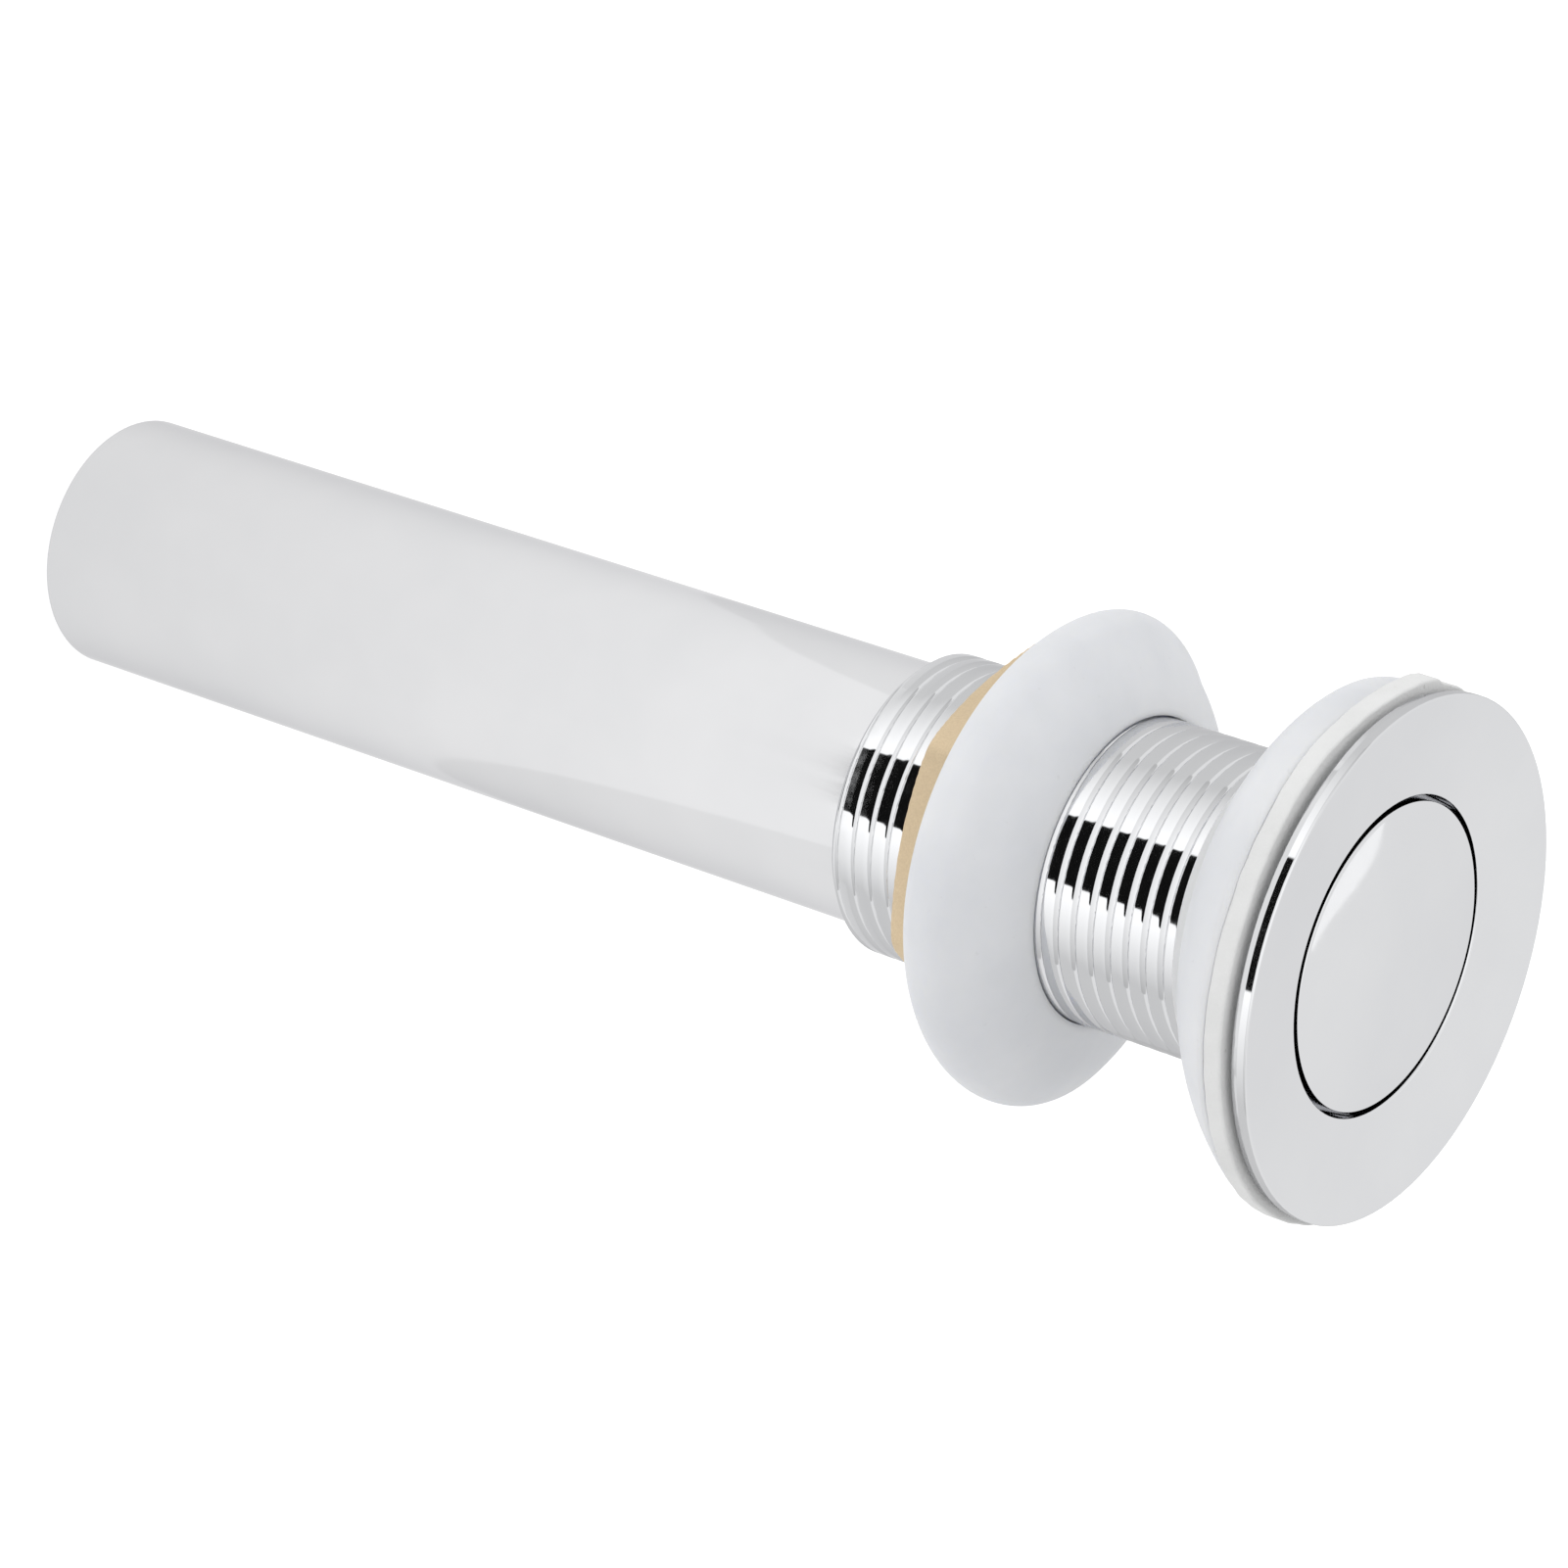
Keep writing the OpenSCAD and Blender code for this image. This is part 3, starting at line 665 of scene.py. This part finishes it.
def steel():
    """Drawn stainless steel: fine lines round the axis and a soft grey gloss."""
    f = Finish("stainless_steel", Metallic=1.0)
    height = f.xyz()[2]
    lines = f.wave((height + 0.1 * f.noise(1.0)) * 40.0)
    f.feed("Base Color", f.blend(f.between(f.noise(0.3), 0.3, 0.7), (0.52, 0.53, 0.54), (0.62, 0.62, 0.63)))
    f.feed("Roughness", 0.24 + 0.04 * lines)
    f.bump(lines, 0.06, 0.01)
    return f.material


def stage_piece(name, points, faces, material):
    """Link a piece of the stage, from points in metres."""
    mesh = bpy.data.meshes.new(name)
    mesh.from_pydata(points, [], faces)
    mesh.materials.append(material)
    piece = bpy.data.objects.new(name, mesh)
    bpy.context.scene.collection.objects.link(piece)
    return piece


def pale_floor():
    """White with a little glow; mirrors see a painted reflection of it instead, with painted shade under the
    tube's end, far off, and past three edges.
    """
    f = Finish("pale_floor", Roughness=1.0, Specular_IOR_Level=0.0)
    f.feed("Base Color", f.blend(f.noise(0.004), (0.79, 0.79, 0.79), (0.81, 0.81, 0.81)))
    x, y = f.xyz()[:2]
    distance = (x * x + y * y) ** 0.5
    # Painted shade for mirrors: dimmer near the tube's end, brighter further out, and dim again far off
    near = f.between(distance, 30.0, 190.0, FLOOR_NEAR, FLOOR_OUT)
    far = f.between(distance, 206.0, 216.0)
    # Slope of each edge's line on the floor, and its distance behind the axis in millimetres; past them mirrors
    # see painted shade
    edges = ((-1.508, 164.4), (0.64, 159.0), (1.67, 303.0))
    softness = 2.0
    right, left, left_end = [f.between(y - slope * x - start, -softness, softness) for slope, start in edges]
    shade = right + 1 - (1 - left) * (1 - left_end)
    lit = f.node("AddShader", {}, {0: Wire(f, f.shader.outputs[0]), 1: f.glow(FLOOR_GLOW)})
    seen = f.node("AddShader", {}, {0: lit, 1: f.glow(FLOOR_SEEN)})
    # What mirrors see of the floor: a painted reflection that carries this painted shade
    painted_floor_reflection = f.glow((near + (FLOOR_FAR - near) * far) * (1 - FLOOR_SHADE * shade))
    plain = f.node("MixShader", {}, {0: f.ray("Camera"), 1: lit, 2: seen})
    f.surface(f.node("MixShader", {}, {0: f.ray("Glossy"), 1: plain, 2: painted_floor_reflection}))
    return f.material


def floor():
    """Wide floor under the tube's end, that still takes a soft shadow."""
    half, z = 4.0, CAD_BOX[0].z
    points = [(-half, -half, z), (half, -half, z), (half, half, z), (-half, half, z)]
    stage_piece("floor", points, [(0, 1, 2, 3)], pale_floor())


def card(name, points, material):
    """Studio card from a grid of points in metres, that only mirrors see; its glow is a painted reflection."""
    rows, columns, _ = points.shape
    index = np.arange(rows * columns).reshape(rows, columns)
    corners = [index[:-1, :-1], index[:-1, 1:], index[1:, 1:], index[1:, :-1]]
    faces = np.stack(corners, axis=-1).reshape(-1, 4)
    piece = stage_piece(name, points.reshape(-1, 3).tolist(), faces.tolist(), material)
    piece.visible_camera = False
    piece.visible_diffuse = False
    piece.visible_transmission = False
    piece.visible_shadow = False


def screen_finish():
    """Painted reflection: a dark gap between two bright leaves that shade off to the sides, closed by a bright
    head above; mirrors show the gap as dark bars on the thread and dark streaks on the flange's edges.
    """
    f = Finish("screen")
    gap_glow = 0.006
    # Bearings in degrees from the front, and heights in millimetres
    x, y, z = f.xyz()
    bearing = f.node("Math", {"operation": "ARCTAN2"}, {0: x, 1: 0 - y}) * (360 / TURN)
    right = 22.0 + 6.5 * f.between(z, -96.0, -84.0)
    above = f.between(z, -59.0, -57.0)
    # The dark gap is painted shade for mirrors: the dark bars on the thread and the dark streaks on the flange's
    # edges
    gap = f.between(bearing, -23.8, -23.0) * f.between(bearing - right, -0.4, 0.4, 1.0, 0.0) * (1 - above)
    side = f.between(f.node("Math", {"operation": "ABSOLUTE"}, {0: bearing}), 30.0, 74.0)
    # The leaves are a painted highlight, dimmer towards the sides
    leaf = LEAF_BRIGHT - (LEAF_BRIGHT - LEAF_SIDE) * side
    dimmer = above * f.between(z, -40.0, 120.0, 0.22, 0.05)
    f.surface(f.glow(leaf * (1 - gap) * (1 - dimmer) + gap_glow))
    return f.material


def screen():
    """Upright screen in front of the part: a strip of a cylinder round the axis, carrying the painted
    reflection.
    """
    radius, bottom, top, half_angle = 150 * MM, -148.5 * MM, CARD_TOP * MM, 76
    a = np.radians(-90 + np.linspace(-half_angle, half_angle, 77))[None]
    z = np.linspace(bottom, top, 2)[:, None] + 0 * a
    points = np.stack([radius * np.cos(a) + 0 * z, radius * np.sin(a) + 0 * z, z], axis=-1)
    card("screen", points, screen_finish())


def even_glow(name, level):
    """Light of almost even level for a card."""
    f = Finish(name)
    f.surface(f.glow(level * f.between(f.noise(0.002), 0.2, 0.8, 0.97, 1.03)))
    return f.material


def ceiling():
    """Glowing card over the part that only mirrors see, a painted highlight which the flange's rounded edge
    shows as a white line.
    """
    half_x, half_y = 220, 150
    x, y = np.meshgrid([-half_x, half_x], [-half_y, half_y])
    points = np.stack([x, y, np.full_like(x, CARD_TOP)], axis=-1)
    card("ceiling", points * MM, even_glow("ceiling", EDGE_HIGHLIGHT_BRIGHT))


def window():
    """Glowing card behind the part that only mirrors see, a painted highlight which the plug's crown shows as a
    crescent: a strip under a parabola.
    """
    left, right, behind = -33.5, 4, 150
    x = np.linspace(left, right, 41)
    lower = 109.3 + 23 * ease(x, -28, right)
    upper = 138.5 - 0.0245 * x ** 2
    points = [np.stack([x, np.full_like(x, behind), z], axis=-1) for z in (lower, upper)]
    card("window", np.array(points) * MM, even_glow("window", CRESCENT_HIGHLIGHT_BRIGHT))


def world():
    """Even white surround: plain white to the camera and to mirrors, and a soft level for the rest."""
    made = bpy.data.worlds.new("studio")
    made.use_nodes = True
    bpy.context.scene.world = made
    tree = made.node_tree
    back = tree.nodes["Background"]
    path = tree.nodes.new("ShaderNodeLightPath")
    strength = tree.nodes.new("ShaderNodeMapRange")
    mirror = tree.nodes.new("ShaderNodeMath")
    mirror.operation = "MAXIMUM"
    seen = tree.nodes.new("ShaderNodeMath")
    seen.operation = "MAXIMUM"
    tree.links.new(path.outputs["Is Glossy Ray"], mirror.inputs[0])
    tree.links.new(path.outputs["Is Transmission Ray"], mirror.inputs[1])
    tree.links.new(path.outputs["Is Camera Ray"], seen.inputs[0])
    tree.links.new(mirror.outputs[0], seen.inputs[1])
    tree.links.new(seen.outputs[0], strength.inputs["Value"])
    strength.inputs["To Min"].default_value = WORLD_SOFT
    strength.inputs["To Max"].default_value = 1.0
    tree.links.new(strength.outputs["Result"], back.inputs["Strength"])
    back.inputs["Color"].default_value = (1, 1, 1, 1)


def lamp(name, place, size, power):
    """Soft square lamp aimed at the thread, that mirrors don't show."""
    light = bpy.data.lights.new(name, "AREA")
    light.shape = "SQUARE"
    light.size = size
    light.energy = power
    made = bpy.data.objects.new(name, light)
    aim = Vector((0, 0, -0.04))
    made.location = place
    made.rotation_euler = (aim - Vector(place)).to_track_quat("-Z", "Y").to_euler()
    made.visible_camera = False
    made.visible_glossy = False
    bpy.context.scene.collection.objects.link(made)


def camera():
    """Long lens on the photograph's line of sight, rolled so that the axis runs across the picture."""
    lens = bpy.data.cameras.new("camera")
    lens.sensor_width = 36
    lens.lens = 141.71
    made = bpy.data.objects.new("camera", lens)
    right = Vector((-0.31713, 0.52455, 0.79011))
    up = Vector((-0.94838, -0.17540, -0.26420))
    ahead = Vector((0, 0.83311, -0.55310))
    place = Vector((2.99, -605.64, 319.85)) * MM
    turn = Matrix((right, up, -ahead)).transposed().to_4x4()
    made.matrix_world = Matrix.Translation(place) @ turn
    bpy.context.scene.collection.objects.link(made)
    bpy.context.scene.camera = made


FINISHES = {
    "chrome_brass": chrome("chrome_plate", (0.73, 0.735, 0.745), (0.70, 0.706, 0.72), 0.02, (1, 1, 1)),
    "chrome_tube": chrome("chrome_tube", (0.81, 0.81, 0.82), (0.77, 0.773, 0.785), 0.05, (1, 1, 0.06)),
    "bare_brass": brass(),
    "white_silicone": silicone(),
    "white_foam": foam(),
    "black_rubber": rubber(),
    "white_plastic": acetal(),
    "stainless_steel": steel(),
}
SLOTS = {part["node"]: part["material_slot"] for part in frame["record"]["subparts"]}
BODIES = {node: body for body, nodes in frame["record"]["behaviour"]["bodies"].items() for node in nodes}

for node, solid in frame["nodes"].items():
    solid.data.materials.clear()
    solid.data.materials.append(FINISHES[SLOTS[node]])

MAKERS = (
    drain_body, tailpiece, plug_cap, foam_gasket, flange_gasket, backing_washer, lock_nut, return_spring)
for make in MAKERS:
    node = make.__name__
    piece = make()
    piece.data.materials.append(FINISHES[SLOTS[node]])
    if make is return_spring:
        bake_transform(piece)
    else:
        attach(piece, BODIES[node])
    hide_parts(node)

floor()
screen()
ceiling()
window()
world()
lamp("key_lamp", (-0.65, -0.5, 1.0), 1.2, 4.0)
camera()
bpy.context.scene.view_settings.view_transform = "Standard"
